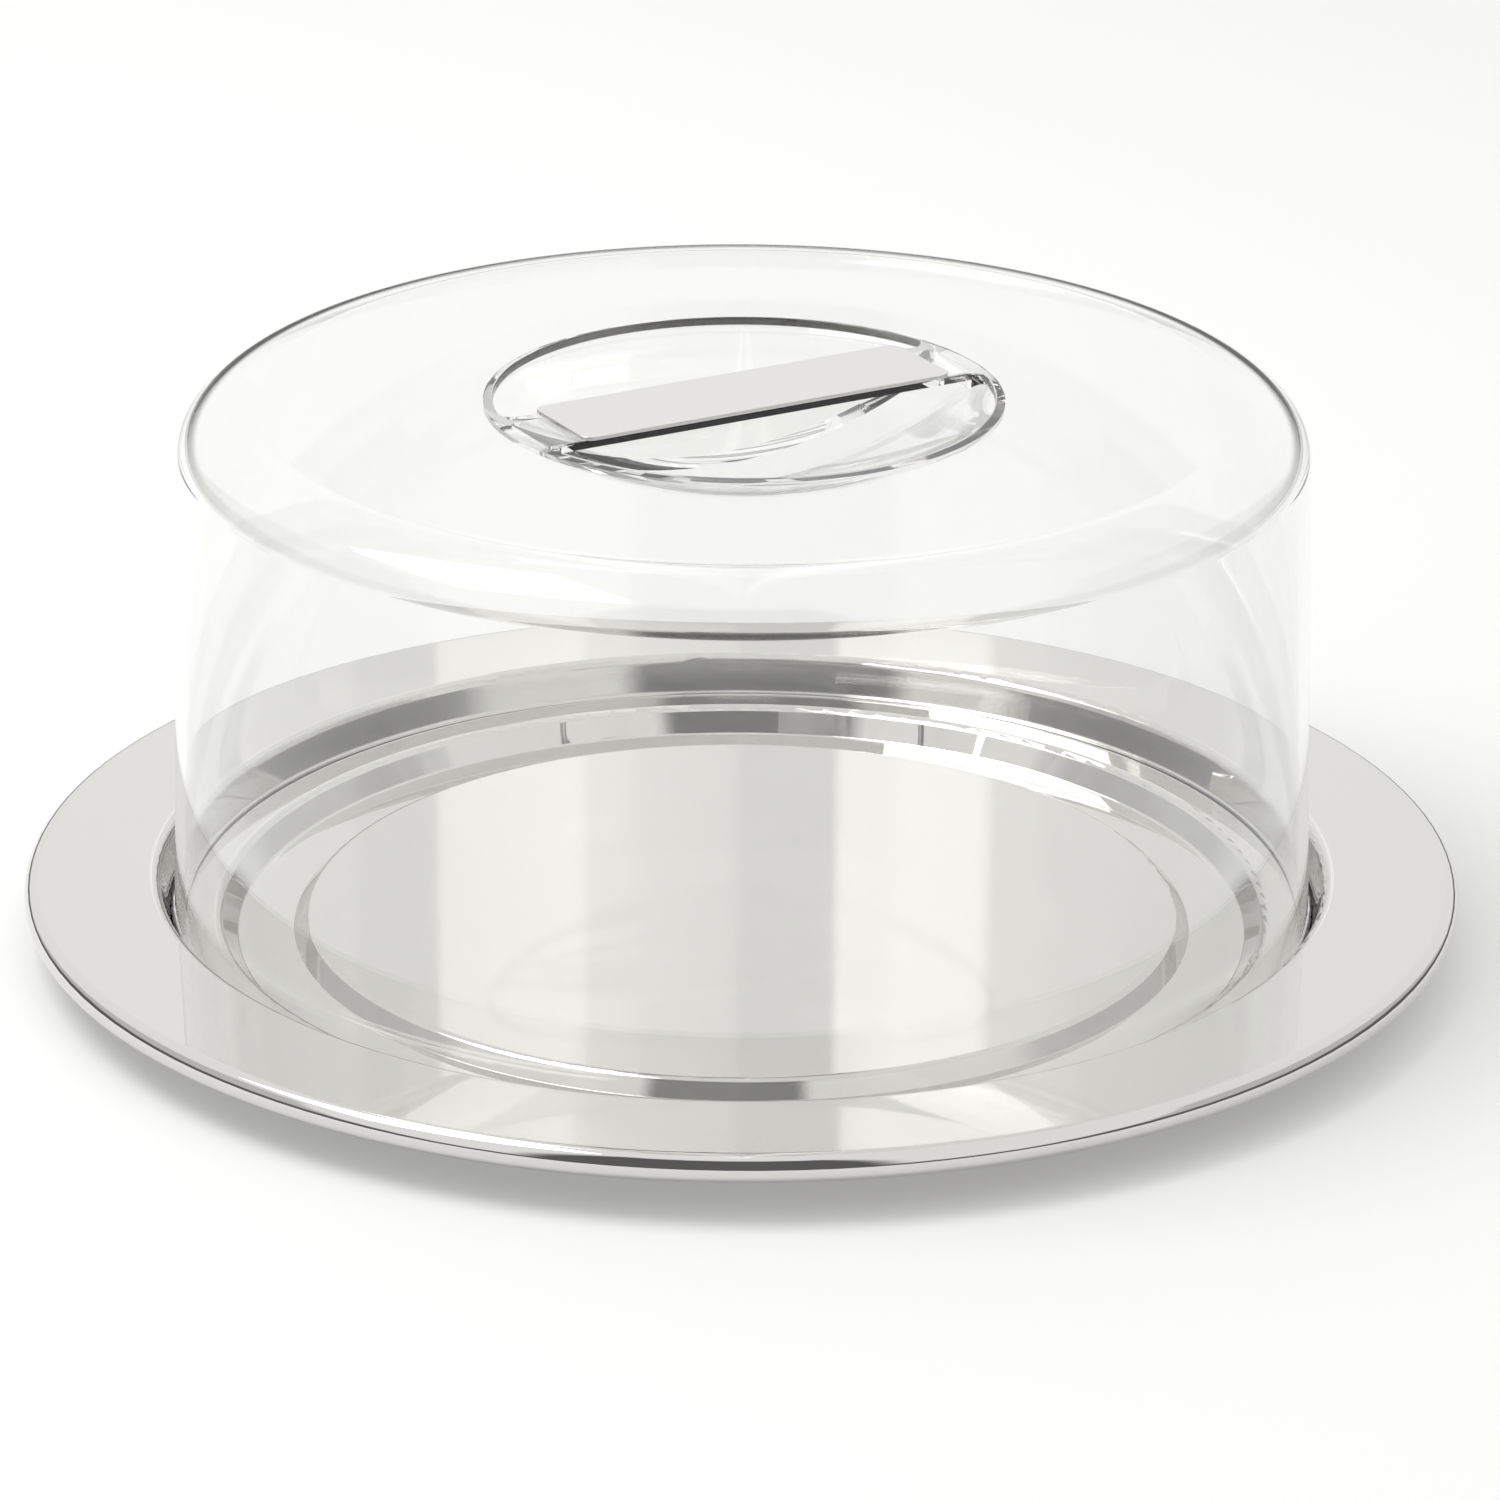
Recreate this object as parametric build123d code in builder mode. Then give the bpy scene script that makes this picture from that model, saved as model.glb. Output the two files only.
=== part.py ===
"""Covered cheese plate: a pressed steel plate under a clear lift-off cover with a two-finger grip.

All sizes are in millimetres. The plate rests on Z = 0 with its centre on the Z axis, and the
handle strip runs along X.
"""

import os
from math import asin, degrees

from build123d import *

# Cover: one clear moulding with a small draft
cover_foot_diameter = 237.8
cover_shoulder_diameter = 231.6
cover_height = 110.2         # from its foot to its flat top
shoulder_width = 15.4
shoulder_drop = 10.4
cover_wall = 2.0
top_wall = 2.0
foot_round = 0.6

# Plate: one steel sheet, pressed and rolled. Its steps follow the cover's foot inwards
plate_diameter = 300.0
sheet = 0.8
rim_height = 13.8            # top of the rim above the table
roll_radius = 3.0            # outside radius of the rolled edge
roll_sweep = 200.0           # degrees the edge is rolled through
foot_clearance = 1.2         # between the cover's foot and the end of the ledge
well_wall_run = 2.6          # how far the well's wall leans out, from the ledge to the rim
ledge_height = 6.0           # top of the ledge that the cover stands on
ledge_width = 10.1
ledge_run = 4.0              # how far the slope from the channel to the ledge leans out
channel_width = 12.3         # flat floor of the channel, which the plate rests on
disc_run = 3.2               # how far the slope of the raised middle leans out
disc_height = 4.3            # top of the raised middle above the table
press_radius = 1.6           # bends of the pressing, on the underside
disc_bend_radius = 1.0

# Grip: a round bowl in the top, split into two finger pockets by a hollow bridge
bowl_diameter = 102.8
bowl_depth = 15.5
bowl_wall = 2.0
lip_height = 1.8             # straight wall at the mouth of the bowl
bridge_width = 20.6
bridge_wall = 2.0
bridge_hollow_length = 100.0
bridge_hollow_corner = 1.5
pocket_corner = 3.0
pocket_edge_round = 0.4

# Handle strip, glued on the bridge
strip_length = 86.0
strip_width = 22.5
strip_thickness = 0.8
strip_corner = 2.5
strip_edge_round = 0.25
pad_thickness = 0.2
pad_margin = 1.2             # how far the pad stays inside the strip and the bridge

# Places that follow from the sizes above
ledge_outer_radius = cover_foot_diameter / 2 + foot_clearance
rim_inner_radius = ledge_outer_radius + well_wall_run
ledge_inner_radius = ledge_outer_radius - ledge_width
channel_outer_radius = ledge_inner_radius - ledge_run
channel_inner_radius = channel_outer_radius - channel_width
disc_radius = channel_inner_radius - disc_run
roll_centre = (plate_diameter / 2 - roll_radius, rim_height - roll_radius)
cover_foot = ledge_height
cover_top = cover_foot + cover_height
top_underside = cover_top - top_wall
shoulder_start = cover_top - shoulder_drop
flat_top_radius = cover_shoulder_diameter / 2 - shoulder_width
bowl_radius = bowl_diameter / 2
bowl_bottom = cover_top - bowl_depth
bowl_cap_depth = bowl_depth - lip_height
bowl_sphere = (bowl_radius**2 + bowl_cap_depth**2) / (2 * bowl_cap_depth)
bowl_centre = (0, bowl_bottom + bowl_sphere)
bowl_sweep = degrees(asin(bowl_radius / bowl_sphere))
bowl_outer_radius = bowl_radius + bowl_wall
bowl_outer_sphere = bowl_sphere + bowl_wall
bowl_outer_sweep = degrees(asin(bowl_outer_radius / bowl_outer_sphere))
hollow_width = bridge_width - 2 * bridge_wall
pad_length = strip_length - 2 * pad_margin
pad_width = bridge_width - 2 * pad_margin
strip_bottom = cover_top + pad_thickness


# Plate: the underside of the sheet is drawn from the centre out, then given its thickness
with BuildPart() as plate:
    with BuildSketch(Plane.XZ):
        with BuildLine():
            underside = FilletPolyline(
                (0, disc_height - sheet),
                (disc_radius, disc_height - sheet),
                (channel_inner_radius, 0),
                (channel_outer_radius, 0),
                (ledge_inner_radius, ledge_height - sheet),
                (ledge_outer_radius, ledge_height - sheet),
                (rim_inner_radius, rim_height - sheet),
                (roll_centre[0], rim_height - sheet),
                radius=[
                    disc_bend_radius,
                    disc_bend_radius,
                    press_radius,
                    press_radius,
                    press_radius,
                    press_radius,
                ],
            )
            CenterArc(roll_centre, roll_radius - sheet, 90, -roll_sweep)
            offset(amount=sheet, side=Side.LEFT, closed=True)
        make_face()
    revolve(axis=Axis.Z)
plate.part.label = "plate"

# Finger pockets: the two halves of the bowl beside the bridge, as the space that is taken out
with BuildPart() as finger_pockets:
    with BuildSketch(Plane.XY.offset(cover_top)):
        Circle(bowl_radius)
        with Locations((0, -bridge_width / 2)):
            Rectangle(
                bowl_diameter,
                bowl_diameter,
                align=(Align.CENTER, Align.MAX),
                mode=Mode.INTERSECT,
            )
        fillet(vertices(), pocket_corner)
    extrude(amount=-bowl_depth)
    with BuildSketch(Plane.XZ):
        with BuildLine():
            cap = CenterArc(bowl_centre, bowl_sphere, -90, bowl_sweep)
            Polyline(cap @ 1, (bowl_radius, cover_top), (0, cover_top), cap @ 0)
        make_face()
    revolve(axis=Axis.Z, mode=Mode.INTERSECT)
    mirror(about=Plane.XZ)

# Cover: a drafted wall, a soft shoulder, a flat top and the outside of the bowl under it
with BuildPart() as cover:
    with BuildSketch(Plane.XZ):
        with BuildLine():
            outer_shoulder = EllipticalCenterArc(
                (flat_top_radius, shoulder_start),
                shoulder_width,
                shoulder_drop,
                start_angle=0,
                arc_size=90,
            )
            inner_shoulder = EllipticalCenterArc(
                (flat_top_radius, shoulder_start),
                shoulder_width - cover_wall,
                shoulder_drop - top_wall,
                start_angle=0,
                arc_size=90,
            )
            Line(outer_shoulder @ 0, (cover_foot_diameter / 2, cover_foot))
            Line(
                (cover_foot_diameter / 2, cover_foot),
                (cover_foot_diameter / 2 - cover_wall, cover_foot),
            )
            Line((cover_foot_diameter / 2 - cover_wall, cover_foot), inner_shoulder @ 0)
            bowl_outside = CenterArc(
                bowl_centre, bowl_outer_sphere, -90, bowl_outer_sweep
            )
            Polyline(
                inner_shoulder @ 1, (bowl_outer_radius, top_underside), bowl_outside @ 1
            )
            Polyline(bowl_outside @ 0, (0, cover_top), outer_shoulder @ 1)
        make_face()
    revolve(axis=Axis.Z)
    foot_edges = edges().filter_by_position(Axis.Z, cover_foot, cover_foot)
    fillet(foot_edges, foot_round)
    add(finger_pockets.part, mode=Mode.SUBTRACT)
    mouth_edges = edges(Select.LAST).filter_by_position(Axis.Z, cover_top, cover_top)
    fillet(mouth_edges, pocket_edge_round)
    with BuildSketch(Plane.XY.offset(top_underside)):
        RectangleRounded(bridge_hollow_length, hollow_width, bridge_hollow_corner)
    extrude(amount=-(bowl_depth + bowl_wall), mode=Mode.SUBTRACT)
cover.part.label = "cover"

# Adhesive pad between the bridge and the strip
with BuildPart() as adhesive_pad:
    with BuildSketch(Plane.XY.offset(cover_top)):
        RectangleRounded(pad_length, pad_width, strip_corner)
    extrude(amount=pad_thickness)
adhesive_pad.part.label = "adhesive_pad"

# Handle strip
with BuildPart() as handle_strip:
    with BuildSketch(Plane.XY.offset(strip_bottom)):
        RectangleRounded(strip_length, strip_width, strip_corner)
    extrude(amount=strip_thickness)
    fillet(edges().group_by(Axis.Z)[-1], strip_edge_round)
handle_strip.part.label = "handle_strip"

os.makedirs("parts", exist_ok=True)
for piece in (plate, cover, adhesive_pad, handle_strip):
    export_step(piece.part, f"parts/{piece.part.label}.step")
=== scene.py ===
"""Dresses the covered cheese plate: mirror-polished steel, a clear cover and a satin strip.

The CAD nodes of the plate, the strip and the adhesive keep their meshes. The cover is drawn
again in the same sizes with finer faces, because light bends at each facet of a clear piece.
"""

import logging
import math
from collections.abc import Callable
from dataclasses import dataclass, field
from enum import Enum

import bpy
from mathutils import Matrix, Vector
from mathutils.geometry import delaunay_2d_cdt


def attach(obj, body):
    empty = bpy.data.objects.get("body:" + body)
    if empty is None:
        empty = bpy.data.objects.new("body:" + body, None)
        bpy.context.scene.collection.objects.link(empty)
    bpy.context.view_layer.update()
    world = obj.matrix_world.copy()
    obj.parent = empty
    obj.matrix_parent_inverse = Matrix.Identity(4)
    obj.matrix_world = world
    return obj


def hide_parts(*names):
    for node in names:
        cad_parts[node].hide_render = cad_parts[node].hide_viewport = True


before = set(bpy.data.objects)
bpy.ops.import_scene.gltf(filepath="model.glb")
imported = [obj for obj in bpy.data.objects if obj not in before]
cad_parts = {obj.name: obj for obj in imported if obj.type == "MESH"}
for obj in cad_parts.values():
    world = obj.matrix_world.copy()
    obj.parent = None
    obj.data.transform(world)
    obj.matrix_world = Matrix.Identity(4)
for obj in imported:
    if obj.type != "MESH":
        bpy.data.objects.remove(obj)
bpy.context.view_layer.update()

logging.basicConfig(level=logging.INFO, format="%(message)s")
log = logging.getLogger("cheese_plate")

MM = 0.001
MERGE_DISTANCE = 1e-6        # millimetres within which the triangulation sees one point
WELD_DIGITS = 5              # decimals of a millimetre to which points of two patches agree
PHOTO_AZIMUTH_DEG = -29.8    # the camera's side, about Z from the object's front
LIGHT_COLOUR = "#FFFFFE"


class Slot(Enum):
    """The record's material slots."""

    PLATE = "plate_steel"
    STRIP = "strip_steel"
    COVER = "clear_plastic"
    PAD = "adhesive"


def linear(hex_colour: str) -> tuple[float, float, float, float]:
    """Turns an sRGB hex colour to linear light.

    Args:
        hex_colour: Six hex digits, with or without a leading #.

    Returns:
        Red, green, blue and an alpha of 1.
    """
    digits = hex_colour.lstrip("#")
    channels = []
    for start in (0, 2, 4):
        value = int(digits[start : start + 2], 16) / 255
        channels.append(value / 12.92 if value <= 0.04045 else ((value + 0.055) / 1.055) ** 2.4)
    return (channels[0], channels[1], channels[2], 1.0)


def add_node(
    tree: bpy.types.NodeTree,
    kind: str,
    settings: dict | None = None,
    values: dict | None = None,
    links: dict | None = None,
) -> bpy.types.Node:
    """Adds one node with its settings, socket values and incoming links.

    Args:
        tree: The node tree it goes in.
        kind: The node's type name.
        settings: Attributes to set on the node.
        values: Default values by input name or number.
        links: Output sockets by the input name or number that they feed.

    Returns:
        The new node.
    """
    node = tree.nodes.new(kind)
    for name, value in (settings or {}).items():
        setattr(node, name, value)
    for socket, value in (values or {}).items():
        node.inputs[socket].default_value = value
    for socket, source in (links or {}).items():
        tree.links.new(source, node.inputs[socket])
    return node


def new_material(name: str) -> bpy.types.Material:
    """Makes a material with an empty node tree.

    Args:
        name: The material's name.

    Returns:
        The new material.
    """
    material = bpy.data.materials.new(name)
    material.use_nodes = True
    material.node_tree.nodes.clear()
    return material


@dataclass(frozen=True)
class PolishedSteel:
    """Stainless sheet, pressed and mirror polished: sharp reflections with faint buffing marks."""

    name: str = "stainless_sheet_mirror_polished"
    colour: str = "#D8D7D5"
    roughness: float = 0.015
    hazy_roughness: float = 0.03
    haze_size_mm: float = 55.5
    # Real buffing marks are about 0.05 mm apart. They are drawn 0.8 mm apart, so that they show.
    mark_spacing_mm: float = 0.8
    mark_depth_mm: float = 0.0001
    mark_strength: float = 0.25

    def make(self) -> bpy.types.Material:
        """Builds the material.

        Returns:
            The finished material.
        """
        material = new_material(self.name)
        tree = material.node_tree
        place = add_node(tree, "ShaderNodeTexCoord")
        marks = add_node(
            tree,
            "ShaderNodeTexNoise",
            values={"Scale": 1 / (self.mark_spacing_mm * MM), "Detail": 2.0, "Roughness": 0.5},
            links={"Vector": place.outputs["Object"]},
        )
        haze = add_node(
            tree,
            "ShaderNodeTexNoise",
            values={"Scale": 1 / (self.haze_size_mm * MM), "Detail": 3.0, "Roughness": 0.55},
            links={"Vector": place.outputs["Object"]},
        )
        gloss = add_node(
            tree,
            "ShaderNodeMapRange",
            values={
                "From Min": 0.3,
                "From Max": 0.75,
                "To Min": self.roughness,
                "To Max": self.hazy_roughness,
            },
            links={"Value": haze.outputs["Fac"]},
        )
        bump = add_node(
            tree,
            "ShaderNodeBump",
            values={"Strength": self.mark_strength, "Distance": self.mark_depth_mm * MM},
            links={"Height": marks.outputs["Fac"]},
        )
        shader = add_node(
            tree,
            "ShaderNodeBsdfPrincipled",
            values={"Base Color": linear(self.colour), "Metallic": 1.0},
            links={"Roughness": gloss.outputs["Result"], "Normal": bump.outputs["Normal"]},
        )
        add_node(tree, "ShaderNodeOutputMaterial", links={"Surface": shader.outputs["BSDF"]})
        return material


@dataclass(frozen=True)
class SatinSteel:
    """Stainless strip, finely ground along its length: an even, soft grey sheen."""

    name: str = "stainless_strip_satin_ground"
    colour: str = "#DCDBD9"
    groove_roughness: float = 0.26
    ridge_roughness: float = 0.36
    # Real grinding lines are about 0.05 mm apart. They are drawn 0.25 mm apart, so that they show.
    line_spacing_mm: float = 0.25
    line_stretch: float = 60.0
    line_depth_mm: float = 0.001
    line_strength: float = 0.3

    def make(self) -> bpy.types.Material:
        """Builds the material.

        Returns:
            The finished material.
        """
        material = new_material(self.name)
        tree = material.node_tree
        place = add_node(tree, "ShaderNodeTexCoord")
        along = add_node(
            tree,
            "ShaderNodeMapping",
            values={"Scale": (1 / self.line_stretch, 1.0, 1.0)},
            links={"Vector": place.outputs["Object"]},
        )
        lines = add_node(
            tree,
            "ShaderNodeTexNoise",
            values={"Scale": 1 / (self.line_spacing_mm * MM), "Detail": 2.0, "Roughness": 0.6},
            links={"Vector": along.outputs["Vector"]},
        )
        gloss = add_node(
            tree,
            "ShaderNodeMapRange",
            values={"To Min": self.groove_roughness, "To Max": self.ridge_roughness},
            links={"Value": lines.outputs["Fac"]},
        )
        bump = add_node(
            tree,
            "ShaderNodeBump",
            values={"Strength": self.line_strength, "Distance": self.line_depth_mm * MM},
            links={"Height": lines.outputs["Fac"]},
        )
        shader = add_node(
            tree,
            "ShaderNodeBsdfPrincipled",
            values={"Base Color": linear(self.colour), "Metallic": 1.0},
            links={"Roughness": gloss.outputs["Result"], "Normal": bump.outputs["Normal"]},
        )
        add_node(tree, "ShaderNodeOutputMaterial", links={"Surface": shader.outputs["BSDF"]})
        return material


@dataclass(frozen=True)
class ClearPlastic:
    """Clear SAN, injection moulded and glossy: bends light strongly and keeps dark, thin edges."""

    name: str = "clear_san_moulded"
    colour: str = "#FBFBFA"
    ior: float = 1.57
    roughness: float = 0.01
    # The slow waves that a moulded surface keeps from its flow.
    flow_size_mm: float = 35.0
    flow_depth_mm: float = 0.01
    flow_strength: float = 0.2

    def make(self) -> bpy.types.Material:
        """Builds the material.

        Returns:
            The finished material.
        """
        material = new_material(self.name)
        tree = material.node_tree
        place = add_node(tree, "ShaderNodeTexCoord")
        flow = add_node(
            tree,
            "ShaderNodeTexNoise",
            values={"Scale": 1 / (self.flow_size_mm * MM), "Detail": 1.0, "Roughness": 0.4},
            links={"Vector": place.outputs["Object"]},
        )
        bump = add_node(
            tree,
            "ShaderNodeBump",
            values={"Strength": self.flow_strength, "Distance": self.flow_depth_mm * MM},
            links={"Height": flow.outputs["Fac"]},
        )
        shader = add_node(
            tree,
            "ShaderNodeBsdfPrincipled",
            values={
                "Base Color": linear(self.colour),
                "Roughness": self.roughness,
                "IOR": self.ior,
                "Transmission Weight": 1.0,
            },
            links={"Normal": bump.outputs["Normal"]},
        )
        add_node(tree, "ShaderNodeOutputMaterial", links={"Surface": shader.outputs["BSDF"]})
        return material


@dataclass(frozen=True)
class AdhesiveSheet:
    """Clear acrylic adhesive, cut from sheet: a faint milky film with fine mottling."""

    name: str = "acrylic_adhesive_sheet"
    colour: str = "#C9C8C5"
    ior: float = 1.47
    smooth_roughness: float = 0.35
    mottled_roughness: float = 0.55
    mottle_mm: float = 1.5

    def make(self) -> bpy.types.Material:
        """Builds the material.

        Returns:
            The finished material.
        """
        material = new_material(self.name)
        tree = material.node_tree
        place = add_node(tree, "ShaderNodeTexCoord")
        mottle = add_node(
            tree,
            "ShaderNodeTexNoise",
            values={"Scale": 1 / (self.mottle_mm * MM), "Detail": 2.0},
            links={"Vector": place.outputs["Object"]},
        )
        gloss = add_node(
            tree,
            "ShaderNodeMapRange",
            values={"To Min": self.smooth_roughness, "To Max": self.mottled_roughness},
            links={"Value": mottle.outputs["Fac"]},
        )
        shader = add_node(
            tree,
            "ShaderNodeBsdfPrincipled",
            values={"Base Color": linear(self.colour), "IOR": self.ior},
            links={"Roughness": gloss.outputs["Result"]},
        )
        add_node(tree, "ShaderNodeOutputMaterial", links={"Surface": shader.outputs["BSDF"]})
        return material


def dress(node: str, material: bpy.types.Material) -> None:
    """Gives a CAD node its material.

    Args:
        node: The node's name.
        material: What it is made of.
    """
    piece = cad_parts[node]
    piece.data.materials.clear()
    piece.data.materials.append(material)
    log.info("%s: %s", node, material.name)


# Points of an outline, each with its normal: (x, y, normal x, normal y) for a loop seen from
# above, or (radius, z, normal's radial part, normal's z part) for a profile that is turned.
Outline = list[tuple[float, float, float, float]]
Test = Callable[[float, float], bool]


@dataclass(frozen=True)
class Patch:
    """One smooth stretch of a surface, in millimetres, with the true normal at each point."""

    points: list[tuple[float, float, float]]
    normals: list[tuple[float, float, float]]
    faces: list[tuple[int, ...]]


def nowhere(x: float, y: float) -> bool:
    """Says no at every place."""
    return False


def ring(radius: float, steps: int) -> Outline:
    """Samples a circle about the origin.

    Args:
        radius: Its radius.
        steps: How many points.

    Returns:
        Points with their outward normals, as (x, y, normal x, normal y).
    """
    turns = (2 * math.pi * step / steps for step in range(steps))
    return [(radius * math.cos(t), radius * math.sin(t), math.cos(t), math.sin(t)) for t in turns]


def arc(
    centre: tuple[float, float], radius: float, start: float, end: float, steps: int
) -> Outline:
    """Samples an arc, without its last point.

    Args:
        centre: The arc's centre.
        radius: The arc's radius.
        start: Where it starts, in degrees.
        end: Where it ends, in degrees.
        steps: How many points.

    Returns:
        Points with their outward normals.
    """
    found = []
    for step in range(steps):
        turn = math.radians(start + (end - start) * step / steps)
        nx, ny = math.cos(turn), math.sin(turn)
        found.append((centre[0] + radius * nx, centre[1] + radius * ny, nx, ny))
    return found


def straight(start: tuple[float, float], end: tuple[float, float], steps: int) -> Outline:
    """Samples a straight run, without its last point.

    Args:
        start: Its first point.
        end: Its last point.
        steps: How many points.

    Returns:
        Points with their normals, which point to the right of the way it runs.
    """
    dx, dy = end[0] - start[0], end[1] - start[1]
    length = math.hypot(dx, dy)
    return [
        (start[0] + dx * step / steps, start[1] + dy * step / steps, dy / length, -dx / length)
        for step in range(steps)
    ]


def side_patch(rows: list[list[tuple[float, ...]]]) -> Patch:
    """Joins closed rows of points into a band.

    Args:
        rows: Rows of (x, y, z, normal x, normal y, normal z), seen from outside going up when
            the points go anticlockwise.

    Returns:
        The band.
    """
    count = len(rows[0])
    flat = [point for row in rows for point in row]
    faces = []
    for row in range(len(rows) - 1):
        for step in range(count):
            ahead = (step + 1) % count
            low, high = row * count, (row + 1) * count
            faces.append((low + step, low + ahead, high + ahead, high + step))
    return Patch([point[:3] for point in flat], [point[3:] for point in flat], faces)


def lathe_patch(profile: Outline, steps: int) -> Patch:
    """Turns a profile about Z.

    Args:
        profile: The points to turn.
        steps: How many points go round.

    Returns:
        The turned surface.
    """
    compass = [(x, y) for x, y, _, _ in ring(1, steps)]
    return side_patch(
        [
            [(x * radius, y * radius, z, x * across, y * across, up) for x, y in compass]
            for radius, z, across, up in profile
        ]
    )


def sheet_patch(
    loops: list[Outline],
    inner_points: list[tuple[float, float]],
    height: Callable[[float, float], float],
    normal: Callable[[float, float], tuple[float, float, float]],
    facing_up: bool,
    left_out: Test = nowhere,
) -> Patch:
    """Fills the space between loops with a sheet over the XY plane.

    Args:
        loops: The sheet's edges.
        inner_points: Points between them.
        height: The sheet's z at a place.
        normal: The sheet's normal at a place.
        facing_up: Which way its faces look.
        left_out: Tells whether a place between the loops is left open.

    Returns:
        The sheet.
    """
    flat = [(x, y) for loop in loops for x, y, _, _ in loop] + inner_points
    edges, first = [], 0
    for loop in loops:
        count = len(loop)
        edges += [(first + step, first + (step + 1) % count) for step in range(count)]
        first += count
    _, _, triangles, origins, _, _ = delaunay_2d_cdt(
        [Vector(point) for point in flat], edges, [], 0, MERGE_DISTANCE
    )
    origin = [ids[0] for ids in origins]
    faces = []
    for corners in triangles:
        ids = [origin[corner] for corner in corners]
        x, y = (sum(flat[i][axis] for i in ids) / 3 for axis in (0, 1))
        if left_out(x, y):
            continue
        (ax, ay), (bx, by), (cx, cy) = (flat[i] for i in ids)
        up = (bx - ax) * (cy - ay) - (by - ay) * (cx - ax) > 0
        faces.append(tuple(ids) if up == facing_up else tuple(reversed(ids)))
    return Patch(
        [(x, y, height(x, y)) for x, y in flat], [normal(x, y) for x, y in flat], faces
    )


def join_patches(name: str, patches: list[Patch]) -> bpy.types.Object:
    """Welds patches into one closed mesh that keeps their true normals.

    Args:
        name: The piece's name.
        patches: Its surfaces, which meet point to point.

    Returns:
        The new piece.
    """
    index: dict[tuple[float, ...], int] = {}
    points, faces, normals = [], [], []
    for patch in patches:
        ids = []
        for point in patch.points:
            key = tuple(round(value, WELD_DIGITS) for value in point)
            if key not in index:
                index[key] = len(points)
                points.append(tuple(value * MM for value in point))
            ids.append(index[key])
        for face in patch.faces:
            faces.append([ids[corner] for corner in face])
            normals.extend(patch.normals[corner] for corner in face)
    mesh = bpy.data.meshes.new(name)
    mesh.from_pydata(points, [], faces)
    mesh.polygons.foreach_set("use_smooth", [True] * len(mesh.polygons))
    mesh.normals_split_custom_set(normals)
    piece = bpy.data.objects.new(name, mesh)
    bpy.context.scene.collection.objects.link(piece)
    return piece


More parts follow.
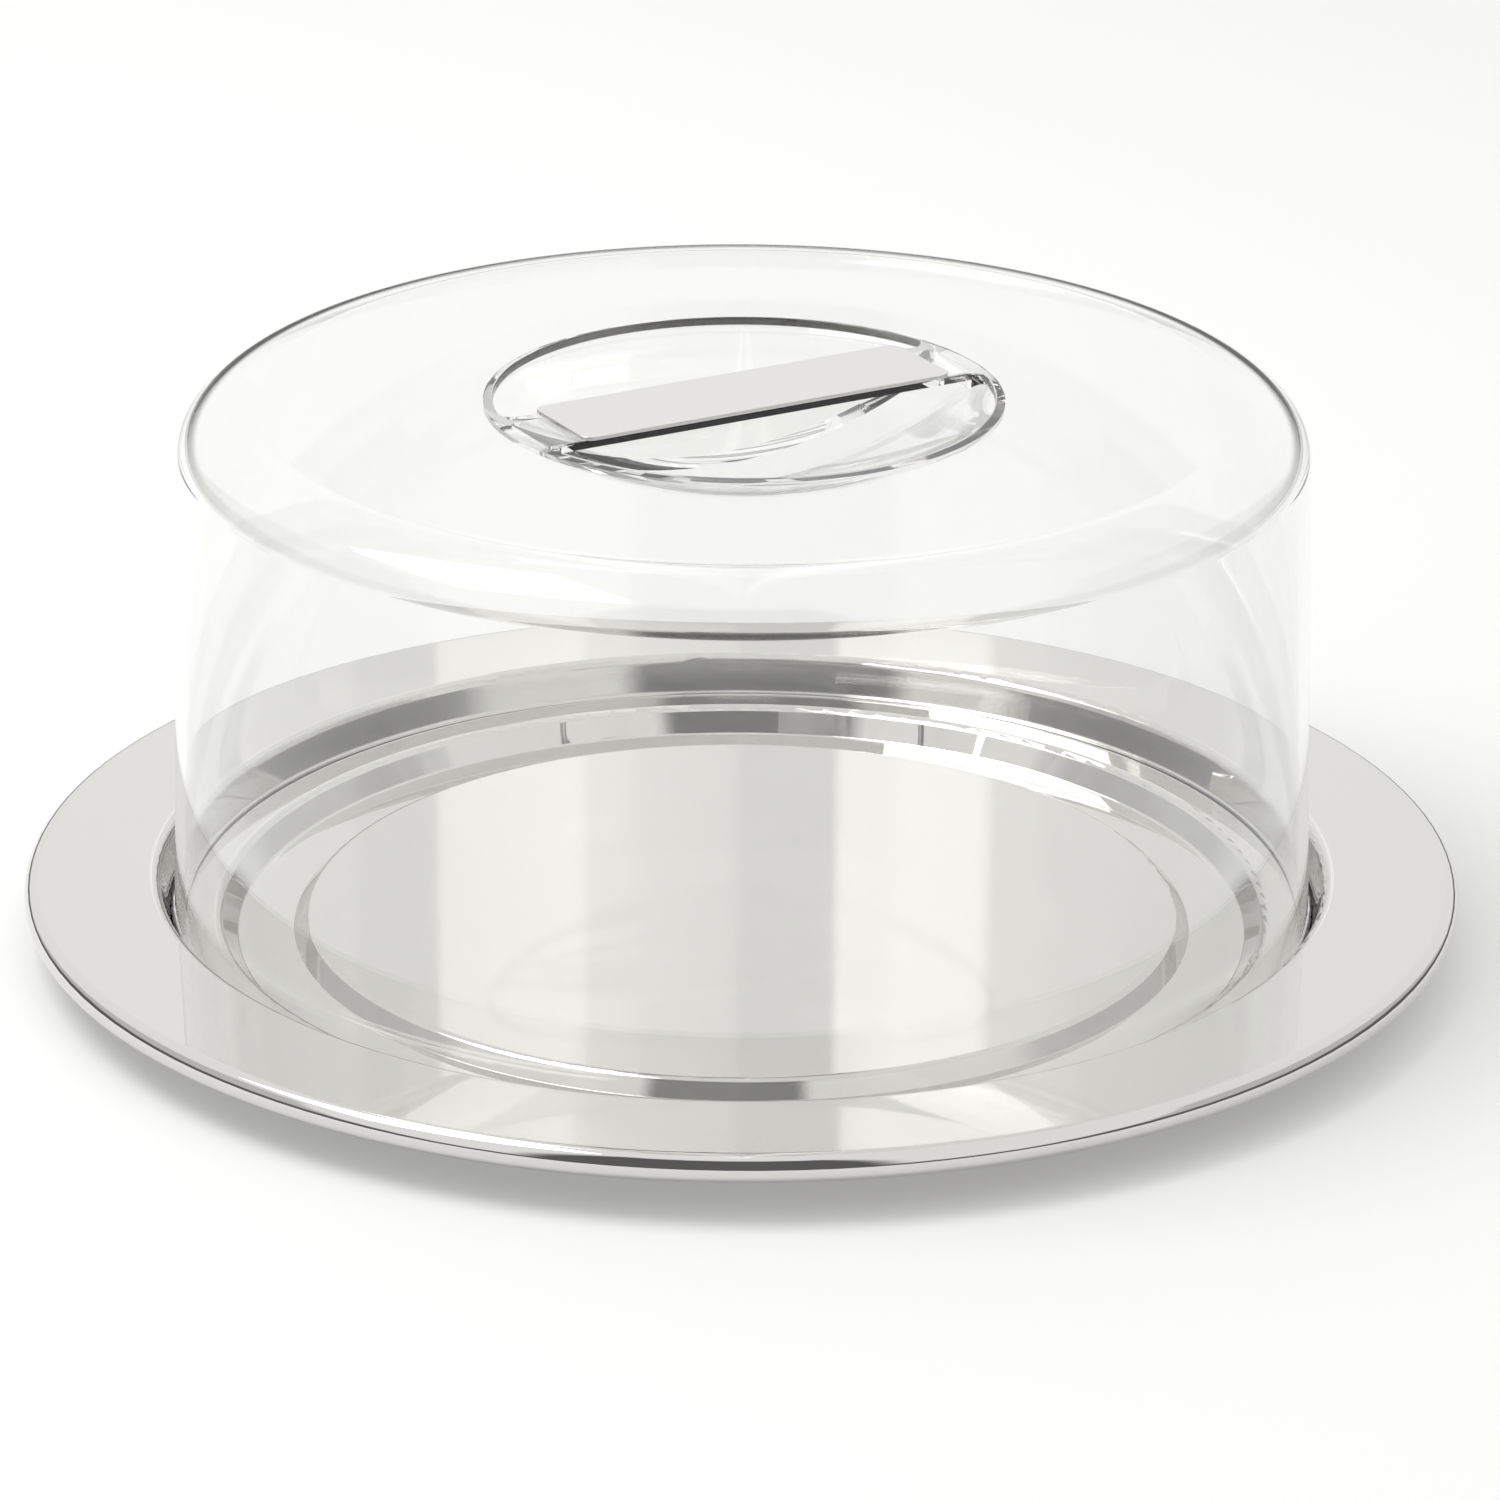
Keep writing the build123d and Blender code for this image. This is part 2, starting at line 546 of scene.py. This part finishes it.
@dataclass
class CoverShape:
    """The clear moulding's sizes in millimetres, and its surfaces drawn finely for refraction."""

    foot_diameter: float = 237.8
    shoulder_diameter: float = 231.6
    foot_z: float = 6.0
    height: float = 110.2
    shoulder_width: float = 15.4
    shoulder_drop: float = 10.4
    wall: float = 2.0
    foot_round: float = 0.6
    bowl_diameter: float = 102.8
    bowl_depth: float = 15.5
    lip_height: float = 1.8
    bridge_width: float = 20.6
    hollow_length: float = 100.0
    hollow_corner: float = 1.5
    pocket_corner: float = 3.0
    edge_round: float = 0.4
    # How finely it is drawn: points along each outline, and the bowl's grid in millimetres.
    around: int = 480
    shoulder_steps: int = 40
    round_steps: int = 6
    lip_steps: int = 150
    pocket_corner_steps: int = 12
    bridge_steps: int = 80
    hollow_end_steps: int = 14
    hollow_corner_steps: int = 8
    grid: float = 1.6

    def __post_init__(self) -> None:
        """Works out the places that follow from the sizes."""
        self.top = self.foot_z + self.height
        self.underside = self.top - self.wall
        self.flat_radius = self.shoulder_diameter / 2 - self.shoulder_width
        self.shoulder_z = self.top - self.shoulder_drop
        self.bowl_radius = self.bowl_diameter / 2
        cap = self.bowl_depth - self.lip_height
        self.sphere = (self.bowl_radius**2 + cap**2) / (2 * cap)
        self.sphere_z = self.top - self.bowl_depth + self.sphere

    def wall_profile(self, side: int) -> Outline:
        """Gives one face of the wall, from the foot to the flat top.

        Args:
            side: 1 for the outside, -1 for the inside.

        Returns:
            Its points, going up.
        """
        inset = 0.0 if side > 0 else self.wall
        foot_radius = self.foot_diameter / 2 - inset
        lean = math.atan2(
            foot_radius - self.shoulder_diameter / 2 + inset, self.shoulder_z - self.foot_z
        )
        found = self.foot_corner((foot_radius, self.foot_z), lean, side)
        width, drop = self.shoulder_width - inset, self.shoulder_drop - inset
        for step in range(self.shoulder_steps + 1):
            turn = math.pi / 2 * step / self.shoulder_steps
            across, up = math.cos(turn) / width, math.sin(turn) / drop
            length = math.hypot(across, up) * side
            place = (width * math.cos(turn), drop * math.sin(turn))
            found.append(
                (
                    self.flat_radius + place[0],
                    self.shoulder_z + place[1],
                    across / length,
                    up / length,
                )
            )
        return found

    def foot_corner(self, corner: tuple[float, float], lean: float, side: int) -> Outline:
        """Rounds a corner of the foot, from its flat underside to the wall.

        Args:
            corner: Radius and z of the sharp corner.
            lean: How far the wall leans in, in radians.
            side: 1 on the outside, -1 on the inside.

        Returns:
            Its points, going up.
        """
        inside = math.pi / 2 - side * lean
        reach = self.foot_round / math.tan(inside / 2)
        centre = (corner[0] - side * reach, corner[1] + self.foot_round)
        found = []
        for step in range(self.round_steps + 1):
            turn = -math.pi / 2 + (math.pi - inside) * step / self.round_steps
            across, up = side * math.cos(turn), math.sin(turn)
            place = (centre[0] + self.foot_round * across, centre[1] + self.foot_round * up)
            found.append((*place, across, up))
        return found

    def pocket_loop(self, side: int) -> Outline:
        """Gives the D of one finger pocket, anticlockwise.

        Args:
            side: -1 for the front pocket and 1 for the back one.

        Returns:
            Points with normals that point away from the pocket.
        """
        chord = self.bridge_width / 2
        y = chord + self.pocket_corner
        x = math.sqrt((self.bowl_radius - self.pocket_corner) ** 2 - y**2)
        swing = math.degrees(math.atan2(y, x))
        loop = (
            arc((0, 0), self.bowl_radius, swing, 180 - swing, self.lip_steps)
            + arc((-x, y), self.pocket_corner, 180 - swing, 270, self.pocket_corner_steps)
            + straight((-x, chord), (x, chord), self.bridge_steps)
            + arc((x, y), self.pocket_corner, -90, swing, self.pocket_corner_steps)
        )
        return loop if side > 0 else [(-px, -py, -nx, -ny) for px, py, nx, ny in loop]

    def hollow_loop(self) -> Outline:
        """Gives the rounded outline of the bridge's hollow, anticlockwise.

        Returns:
            Points with normals that point away from the hollow.
        """
        bend, turn_steps = self.hollow_corner, self.hollow_corner_steps
        x = self.hollow_length / 2 - bend
        y = self.bridge_width / 2 - self.wall - bend
        return (
            straight((-x, -y - bend), (x, -y - bend), self.bridge_steps)
            + arc((x, -y), bend, -90, 0, turn_steps)
            + straight((x + bend, -y), (x + bend, y), self.hollow_end_steps)
            + arc((x, y), bend, 0, 90, turn_steps)
            + straight((x, y + bend), (-x, y + bend), self.bridge_steps)
            + arc((-x, y), bend, 90, 180, turn_steps)
            + straight((-x - bend, y), (-x - bend, -y), self.hollow_end_steps)
            + arc((-x, -y), bend, 180, 270, turn_steps)
        )

    def in_pocket(self, x: float, y: float, margin: float = 0.0) -> bool:
        """Tells whether a place is in a finger pocket.

        Args:
            x: The place's x.
            y: The place's y.
            margin: How far inside the pocket's edge it has to be.

        Returns:
            Whether it is.
        """
        chord, bend = self.bridge_width / 2, self.pocket_corner
        away = abs(y)
        if away < chord + margin or math.hypot(x, y) > self.bowl_radius - margin:
            return False
        centre_x = math.sqrt((self.bowl_radius - bend) ** 2 - (chord + bend) ** 2)
        if abs(x) > centre_x and away < chord + bend:
            return math.hypot(abs(x) - centre_x, away - chord - bend) < bend - margin
        return True

    def in_hollow(self, x: float, y: float, margin: float = 0.0) -> bool:
        """Tells whether a place is under the bridge's hollow.

        Args:
            x: The place's x.
            y: The place's y.
            margin: How far outside the hollow's edge still counts.

        Returns:
            Whether it is.
        """
        off_x = abs(x) - self.hollow_length / 2 + self.hollow_corner
        off_y = abs(y) - self.bridge_width / 2 + self.wall + self.hollow_corner
        return math.hypot(max(off_x, 0.0), max(off_y, 0.0)) < self.hollow_corner + margin

    def grid_points(self, keep: Test) -> list[tuple[float, float]]:
        """Gives staggered points over the bowl.

        Args:
            keep: Tells whether a place is wanted.

        Returns:
            The places, row by row.
        """
        spare_rows = 3
        reach = int(self.bowl_radius / self.grid) + spare_rows
        points = []
        for row in range(-reach, reach + 1):
            for column in range(-reach, reach + 1):
                x = (column + 0.5 * (row % 2)) * self.grid
                y = row * self.grid * math.sqrt(3) / 2
                if keep(x, y):
                    points.append((x, y))
        return points

    def bowl_z(self, x: float, y: float, more: float = 0.0) -> float:
        """Gives the bowl's z at a place, with its sphere larger by more."""
        return self.sphere_z - math.sqrt((self.sphere + more) ** 2 - x * x - y * y)

    def bowl_normal(self, x: float, y: float, more: float = 0.0) -> tuple[float, float, float]:
        """Gives the bowl's upward normal at a place."""
        size = self.sphere + more
        return (-x / size, -y / size, math.sqrt(size * size - x * x - y * y) / size)

    def pocket_patches(self, side: int) -> list[Patch]:
        """Gives the rounded mouth, the straight wall and the bottom of one pocket.

        Args:
            side: -1 for the front pocket and 1 for the back one.

        Returns:
            The three surfaces.
        """
        loop = self.pocket_loop(side)
        mouth = []
        for step in range(self.round_steps + 1):
            turn = math.pi / 2 * step / self.round_steps
            across = math.sin(turn)
            out = self.edge_round * (1 - across)
            z = self.top - self.edge_round * (1 - math.cos(turn))
            mouth.append(
                [
                    (x + nx * out, y + ny * out, z, -nx * across, -ny * across, math.cos(turn))
                    for x, y, nx, ny in loop
                ]
            )
        wall = [mouth[-1], [(x, y, self.bowl_z(x, y), -nx, -ny, 0.0) for x, y, nx, ny in loop]]
        half = self.grid / 2
        floor = sheet_patch(
            [loop],
            self.grid_points(lambda x, y: y * side > 0 and self.in_pocket(x, y, half)),
            self.bowl_z,
            self.bowl_normal,
            facing_up=True,
        )
        return [side_patch(mouth), side_patch(wall), floor]

    def turned_patches(self) -> list[Patch]:
        """Gives the surfaces that are turned about Z.

        Returns:
            The outside and the inside of the wall with its shoulder, the foot's underside, the
            flat top's underside, and the step from there to the bowl.
        """
        outer, inner = self.wall_profile(1), self.wall_profile(-1)
        under = [(*inner[0][:2], 0.0, -1.0), (*outer[0][:2], 0.0, -1.0)]
        bowl_out = self.bowl_radius + self.wall
        flat_under = [
            (radius, self.underside, 0.0, -1.0) for radius in (bowl_out, self.flat_radius)
        ]
        step = [
            (bowl_out, z, 1.0, 0.0) for z in (self.bowl_z(bowl_out, 0, self.wall), self.underside)
        ]
        profiles = (outer, inner[::-1], under, flat_under, step)
        return [lathe_patch(profile, self.around) for profile in profiles]

    def flat_top(self) -> Patch:
        """Gives the flat top, open where the pockets' mouths are.

        Returns:
            The surface.
        """
        mouths = [
            [
                (x + nx * self.edge_round, y + ny * self.edge_round, nx, ny)
                for x, y, nx, ny in self.pocket_loop(side)
            ]
            for side in (-1, 1)
        ]
        return sheet_patch(
            [ring(self.flat_radius, self.around), *mouths],
            [],
            lambda x, y: self.top,
            lambda x, y: (0.0, 0.0, 1.0),
            facing_up=True,
            left_out=lambda x, y: self.in_pocket(x, y, -self.edge_round),
        )

    def bowl_outside(self) -> Patch:
        """Gives the outside of the bowl, open where the bridge is hollow.

        Returns:
            The surface.
        """
        bowl_out, half = self.bowl_radius + self.wall, self.grid / 2
        return sheet_patch(
            [ring(bowl_out, self.around), self.hollow_loop()],
            self.grid_points(
                lambda x, y: math.hypot(x, y) < bowl_out - half and not self.in_hollow(x, y, half)
            ),
            lambda x, y: self.bowl_z(x, y, self.wall),
            lambda x, y: tuple(-part for part in self.bowl_normal(x, y, self.wall)),
            facing_up=False,
            left_out=self.in_hollow,
        )

    def hollow_patches(self) -> list[Patch]:
        """Gives the walls and the roof of the bridge's hollow.

        Returns:
            The two surfaces.
        """
        hollow = self.hollow_loop()
        walls = [
            [(x, y, self.underside, -nx, -ny, 0.0) for x, y, nx, ny in hollow],
            [(x, y, self.bowl_z(x, y, self.wall), -nx, -ny, 0.0) for x, y, nx, ny in hollow],
        ]
        roof = sheet_patch(
            [hollow],
            [],
            lambda x, y: self.underside,
            lambda x, y: (0.0, 0.0, -1.0),
            facing_up=False,
        )
        return [side_patch(walls), roof]

    def patches(self) -> list[Patch]:
        """Gives every surface of the moulding.

        Returns:
            Surfaces that meet point to point and close round the plastic.
        """
        return [
            *self.turned_patches(),
            self.flat_top(),
            self.bowl_outside(),
            *self.hollow_patches(),
            *self.pocket_patches(-1),
            *self.pocket_patches(1),
        ]


@dataclass
class ServingPlate:
    """The pressed steel plate."""

    finish: PolishedSteel = field(default_factory=PolishedSteel)

    def build(self) -> None:
        """Dresses the plate."""
        dress("plate", self.finish.make())


@dataclass
class Cover:
    """The clear cover with its steel grip strip."""

    shape: CoverShape = field(default_factory=CoverShape)
    shell: ClearPlastic = field(default_factory=ClearPlastic)
    strip: SatinSteel = field(default_factory=SatinSteel)
    glue: AdhesiveSheet = field(default_factory=AdhesiveSheet)

    def build(self) -> None:
        """Dresses the cover, its strip and the adhesive under the strip."""
        moulding = join_patches("cover_moulding", self.shape.patches())
        moulding.data.materials.append(self.shell.make())
        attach(moulding, "cover")
        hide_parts("cover")
        log.info("cover_moulding: %d faces", len(moulding.data.polygons))
        dress("handle_strip", self.strip.make())
        dress("adhesive_pad", self.glue.make())


def photo_side() -> Matrix:
    """Gives the turn about Z from the camera's side to the object's frame."""
    return Matrix.Rotation(math.radians(PHOTO_AZIMUTH_DEG), 4, "Z")


@dataclass(frozen=True)
class PhotoCamera:
    """The camera, fitted to the photograph's outlines."""

    pitch_deg: float = -21.493
    roll_deg: float = 0.305
    distance_m: float = 1.3268
    height_m: float = 0.5606
    centre_shift: float = 0.00517
    focal_px: float = 6836.0
    frame_px: float = 1500.0
    sensor_mm: float = 36.0
    nearest_m: float = 0.01
    furthest_m: float = 50.0

    def build(self) -> None:
        """Places the camera where the photograph was taken from."""
        data = bpy.data.cameras.new("photo_camera")
        data.sensor_width = self.sensor_mm
        data.lens = self.focal_px * self.sensor_mm / self.frame_px
        data.shift_x = self.centre_shift
        data.clip_start = self.nearest_m
        data.clip_end = self.furthest_m
        camera = bpy.data.objects.new("photo_camera", data)
        bpy.context.scene.collection.objects.link(camera)
        place = Matrix.Translation((0, -self.distance_m, self.height_m))
        pitch = Matrix.Rotation(math.radians(90 + self.pitch_deg), 4, "X")
        roll = Matrix.Rotation(math.radians(self.roll_deg), 4, "Z")
        camera.matrix_world = photo_side() @ place @ pitch @ roll
        bpy.context.scene.camera = camera


@dataclass(frozen=True)
class Table:
    """The pale table top. It glows a little, as an evenly lit backdrop does in a bright photo."""

    half_width_m: float = 0.8
    front_m: float = 0.4
    back_m: float = 1.3
    colour: str = "#DADADA"
    roughness: float = 0.9
    glow: float = 0.235

    def build(self) -> None:
        """Lays the table top under the plate."""
        mesh = bpy.data.meshes.new("floor")
        corners = [
            (-self.half_width_m, -self.front_m, 0),
            (self.half_width_m, -self.front_m, 0),
            (self.half_width_m, self.back_m, 0),
            (-self.half_width_m, self.back_m, 0),
        ]
        mesh.from_pydata(corners, [], [(0, 1, 2, 3)])
        floor = bpy.data.objects.new("floor", mesh)
        bpy.context.scene.collection.objects.link(floor)
        floor.matrix_world = photo_side()
        material = new_material("floor_card_matt")
        tree = material.node_tree
        shader = add_node(
            tree,
            "ShaderNodeBsdfPrincipled",
            values={
                "Base Color": linear(self.colour),
                "Roughness": self.roughness,
                "Specular IOR Level": 0.0,
                "Emission Color": linear(LIGHT_COLOUR),
                "Emission Strength": self.glow,
            },
        )
        add_node(tree, "ShaderNodeOutputMaterial", links={"Surface": shader.outputs["BSDF"]})
        mesh.materials.append(material)


@dataclass(frozen=True)
class Softbox:
    """One large soft lamp, above the object and to its left."""

    level: float = 4.6
    size_m: float = 0.7
    height_m: float = 1.1
    left_m: float = 0.62
    back_m: float = 0.0

    def build(self) -> None:
        """Hangs the lamp."""
        data = bpy.data.lights.new("overhead_softbox", "AREA")
        data.shape = "SQUARE"
        data.size = self.size_m
        data.energy = self.level * math.pi * self.size_m**2
        data.color = linear(LIGHT_COLOUR)[:3]
        lamp = bpy.data.objects.new("overhead_softbox", data)
        bpy.context.scene.collection.objects.link(lamp)
        place = Matrix.Translation((-self.left_m, self.back_m, self.height_m))
        lamp.matrix_world = photo_side() @ place


@dataclass(frozen=True)
class Panel:
    """One upright light panel: its sides as bearings from straight behind, and its levels."""

    left_deg: float
    right_deg: float
    left_level: float
    right_level: float


@dataclass(frozen=True)
class Room:
    """The light round the table, with panels that the flat steel mirrors and dark parts."""

    sky_level: float = 1.0
    dark_level: float = 0.14
    backdrop_level: float = 1.0
    panels: tuple[Panel, ...] = (
        Panel(-12.0, -4.5, 1.02, 1.05),
        Panel(-4.4, -3.35, 0.98, 0.98),
        Panel(-3.3, -1.7, 1.26, 1.36),
        Panel(-1.62, -0.1, 1.2, 1.12),
        Panel(0.0, 0.95, 1.02, 1.02),
        Panel(1.0, 2.6, 1.44, 1.4),
        Panel(2.68, 4.4, 1.08, 1.04),
        Panel(4.5, 12.0, 1.03, 1.0),
    )
    panel_foot_deg: float = 20.3
    panel_foot_blur_deg: float = 0.4
    # Outlines: bearing from straight behind the object, and elevation there, in degrees.
    wall_tops: tuple[tuple[float, float], ...] = (
        (0.0, 5.0),
        (40.0, 6.0),
        (60.0, 13.0),
        (120.0, 13.0),
        (135.0, 8.0),
        (180.0, 8.0),
    )
    flag_tops: tuple[tuple[float, float], ...] = (
        (0.0, 0.0),
        (36.0, 6.0),
        (50.0, 21.0),
        (60.0, 31.0),
        (85.0, 41.0),
        (98.0, 40.0),
        (118.0, 13.0),
        (180.0, 0.0),
    )
    flag_depth: float = 0.42
    outline_blur: float = 0.05
    door_turn_deg: float = -5.0
    door_half_deg: float = 28.0
    door_top_deg: float = 68.0
    door_blur_deg: float = 4.0

    def build(self) -> None:
        """Sets up the world. Where the camera sees past the table, it sees plain white."""
        world = bpy.data.worlds.new("studio_room")
        world.use_nodes = True
        bpy.context.scene.world = world
        tree = world.node_tree
        tree.nodes.clear()
        bearing, height = self.direction(tree)
        dark = self.dark_parts(tree, bearing, height)
        lit = add_node(
            tree,
            "ShaderNodeMix",
            settings={"data_type": "FLOAT"},
            values={"B": self.dark_level},
            links={"Factor": dark, "A": self.light(tree, bearing, height)},
        )
        path = add_node(tree, "ShaderNodeLightPath")
        shown = add_node(
            tree,
            "ShaderNodeMix",
            settings={"data_type": "FLOAT"},
            values={"B": self.backdrop_level},
            links={"Factor": path.outputs["Is Camera Ray"], "A": lit.outputs["Result"]},
        )
        background = add_node(
            tree,
            "ShaderNodeBackground",
            values={"Color": linear(LIGHT_COLOUR)},
            links={"Strength": shown.outputs["Result"]},
        )
        add_node(
            tree, "ShaderNodeOutputWorld", links={"Surface": background.outputs["Background"]}
        )

    def direction(
        self, tree: bpy.types.NodeTree
    ) -> tuple[bpy.types.NodeSocket, bpy.types.NodeSocket]:
        """Finds which way a ray goes.

        Args:
            tree: The world's node tree.

        Returns:
            Its bearing from straight behind the object, in radians, and the sine of its
            elevation.
        """
        place = add_node(tree, "ShaderNodeTexCoord")
        right, behind = (
            add_node(
                tree,
                "ShaderNodeVectorMath",
                settings={"operation": "DOT_PRODUCT"},
                values={1: photo_side() @ Vector(side)},
                links={0: place.outputs["Generated"]},
            )
            for side in ((1, 0, 0), (0, 1, 0))
        )
        bearing = add_node(
            tree,
            "ShaderNodeMath",
            settings={"operation": "ARCTAN2"},
            links={0: right.outputs["Value"], 1: behind.outputs["Value"]},
        )
        parts = add_node(
            tree, "ShaderNodeSeparateXYZ", links={"Vector": place.outputs["Generated"]}
        )
        return bearing.outputs["Value"], parts.outputs["Z"]

    def by_bearing(
        self,
        tree: bpy.types.NodeTree,
        bearing: bpy.types.NodeSocket,
        levels: list[tuple[float, float]],
    ) -> bpy.types.NodeSocket:
        """Gives a level that changes with the bearing.

        Args:
            tree: The world's node tree.
            bearing: The ray's bearing, in radians.
            levels: Bearings in degrees, from one end to the other, and the levels there.

        Returns:
            The level.
        """
        first, last = levels[0][0], levels[-1][0]
        across = add_node(
            tree,
            "ShaderNodeMapRange",
            values={"From Min": math.radians(first), "From Max": math.radians(last)},
            links={"Value": bearing},
        )
        ramp = add_node(tree, "ShaderNodeValToRGB", links={"Fac": across.outputs["Result"]})
        marks = ramp.color_ramp.elements
        while len(marks) < len(levels):
            marks.new(1.0)
        top = max(level for _, level in levels)
        for mark, (bearing_deg, level) in zip(marks, levels):
            mark.position = (bearing_deg - first) / (last - first)
            mark.color = (level / top, level / top, level / top, 1.0)
        scaled = add_node(
            tree,
            "ShaderNodeMath",
            settings={"operation": "MULTIPLY"},
            values={1: top},
            links={0: ramp.outputs["Color"]},
        )
        return scaled.outputs["Value"]

    def light(
        self, tree: bpy.types.NodeTree, bearing: bpy.types.NodeSocket, height: bpy.types.NodeSocket
    ) -> bpy.types.NodeSocket:
        """Draws the sky and the upright light panels behind the object.

        Args:
            tree: The world's node tree.
            bearing: The ray's bearing from straight behind the object, in radians.
            height: The sine of the ray's elevation.

        Returns:
            The light level.
        """
        levels = []
        for panel in self.panels:
            levels.append((panel.left_deg, panel.left_level))
            levels.append((panel.right_deg, panel.right_level))
        low, high = (
            math.sin(math.radians(self.panel_foot_deg + side * self.panel_foot_blur_deg))
            for side in (-1, 1)
        )
        raised = add_node(
            tree,
            "ShaderNodeMapRange",
            settings={"interpolation_type": "SMOOTHSTEP"},
            values={"From Min": low, "From Max": high},
            links={"Value": height},
        )
        level = add_node(
            tree,
            "ShaderNodeMix",
            settings={"data_type": "FLOAT"},
            values={"A": self.sky_level},
            links={
                "Factor": raised.outputs["Result"],
                "B": self.by_bearing(tree, bearing, levels),
            },
        )
        return level.outputs["Result"]

    def dark_parts(
        self, tree: bpy.types.NodeTree, bearing: bpy.types.NodeSocket, height: bpy.types.NodeSocket
    ) -> bpy.types.NodeSocket:
        """Marks the low walls, the flags at both sides and the doorway behind the camera.

        Args:
            tree: The world's node tree.
            bearing: The ray's bearing from straight behind the object, in radians.
            height: The sine of the ray's elevation.

        Returns:
            1 where it is dark, 0 where the light shows in full.
        """
        flags = add_node(
            tree,
            "ShaderNodeMath",
            settings={"operation": "MULTIPLY"},
            values={1: self.flag_depth},
            links={0: self.below(tree, bearing, height, self.flag_tops)},
        )
        dark = flags.outputs["Value"]
        walls = self.below(tree, bearing, height, self.wall_tops)
        for part in (walls, self.doorway(tree, bearing, height)):
            darker = add_node(
                tree,
                "ShaderNodeMath",
                settings={"operation": "MAXIMUM"},
                links={0: dark, 1: part},
            )
            dark = darker.outputs["Value"]
        return dark

    def below(
        self,
        tree: bpy.types.NodeTree,
        bearing: bpy.types.NodeSocket,
        height: bpy.types.NodeSocket,
        tops: tuple[tuple[float, float], ...],
    ) -> bpy.types.NodeSocket:
        """Marks what lies below an outline drawn round the room, the same on both sides.

        Args:
            tree: The world's node tree.
            bearing: The ray's bearing from straight behind the object, in radians.
            height: The sine of the ray's elevation.
            tops: Bearings and the outline's elevation there, in degrees.

        Returns:
            1 below the outline, 0 above it.
        """
        off = add_node(
            tree, "ShaderNodeMath", settings={"operation": "ABSOLUTE"}, links={0: bearing}
        )
        rises = [(bearing_deg, math.sin(math.radians(top_deg))) for bearing_deg, top_deg in tops]
        above = add_node(
            tree,
            "ShaderNodeMath",
            settings={"operation": "SUBTRACT"},
            links={0: height, 1: self.by_bearing(tree, off.outputs["Value"], rises)},
        )
        inside = add_node(
            tree,
            "ShaderNodeMapRange",
            settings={"interpolation_type": "SMOOTHSTEP"},
            values={
                "From Min": -self.outline_blur,
                "From Max": self.outline_blur,
                "To Min": 1.0,
                "To Max": 0.0,
            },
            links={"Value": above.outputs["Value"]},
        )
        return inside.outputs["Result"]

    def doorway(
        self, tree: bpy.types.NodeTree, bearing: bpy.types.NodeSocket, height: bpy.types.NodeSocket
    ) -> bpy.types.NodeSocket:
        """Marks the dark opening behind the camera.

        Args:
            tree: The world's node tree.
            bearing: The ray's bearing from straight behind the object, in radians.
            height: The sine of the ray's elevation.

        Returns:
            1 in the opening, 0 outside it.
        """
        turned = add_node(
            tree,
            "ShaderNodeMath",
            settings={"operation": "ADD"},
            values={1: math.radians(self.door_turn_deg)},
            links={0: bearing},
        )
        wrapped = add_node(
            tree,
            "ShaderNodeMath",
            settings={"operation": "WRAP"},
            values={1: math.pi, 2: -math.pi},
            links={0: turned.outputs["Value"]},
        )
        off = add_node(
            tree,
            "ShaderNodeMath",
            settings={"operation": "ABSOLUTE"},
            links={0: wrapped.outputs["Value"]},
        )
        side, blur = 180 - self.door_half_deg, self.door_blur_deg
        inside = add_node(
            tree,
            "ShaderNodeMapRange",
            settings={"interpolation_type": "SMOOTHSTEP"},
            values={"From Min": math.radians(side - blur), "From Max": math.radians(side + blur)},
            links={"Value": off.outputs["Value"]},
        )
        low = add_node(
            tree,
            "ShaderNodeMapRange",
            settings={"interpolation_type": "SMOOTHSTEP"},
            values={
                "From Min": math.sin(math.radians(self.door_top_deg - blur)),
                "From Max": math.sin(math.radians(self.door_top_deg + blur)),
                "To Min": 1.0,
                "To Max": 0.0,
            },
            links={"Value": height},
        )
        both = add_node(
            tree,
            "ShaderNodeMath",
            settings={"operation": "MULTIPLY"},
            links={0: inside.outputs["Result"], 1: low.outputs["Result"]},
        )
        return both.outputs["Value"]


@dataclass
class Studio:
    """The table, the lights and the camera, all turned to the photograph's side."""

    camera: PhotoCamera = field(default_factory=PhotoCamera)
    table: Table = field(default_factory=Table)
    lamp: Softbox = field(default_factory=Softbox)
    room: Room = field(default_factory=Room)
    bounces: int = 64
    glossy_bounces: int = 48
    transmission_bounces: int = 32
    transparent_bounces: int = 24

    def build(self) -> None:
        """Sets up the studio, and lets light pass through all the cover's walls."""
        for part in (self.camera, self.table, self.lamp, self.room):
            part.build()
        scene = bpy.context.scene
        scene.view_settings.view_transform = "Standard"
        scene.cycles.max_bounces = self.bounces
        scene.cycles.glossy_bounces = self.glossy_bounces
        scene.cycles.transmission_bounces = self.transmission_bounces
        scene.cycles.transparent_max_bounces = self.transparent_bounces


def main() -> None:
    """Builds the studio and dresses each sub-assembly in order."""
    Studio().build()
    ServingPlate().build()
    Cover().build()


if __name__ == "__main__":
    main()
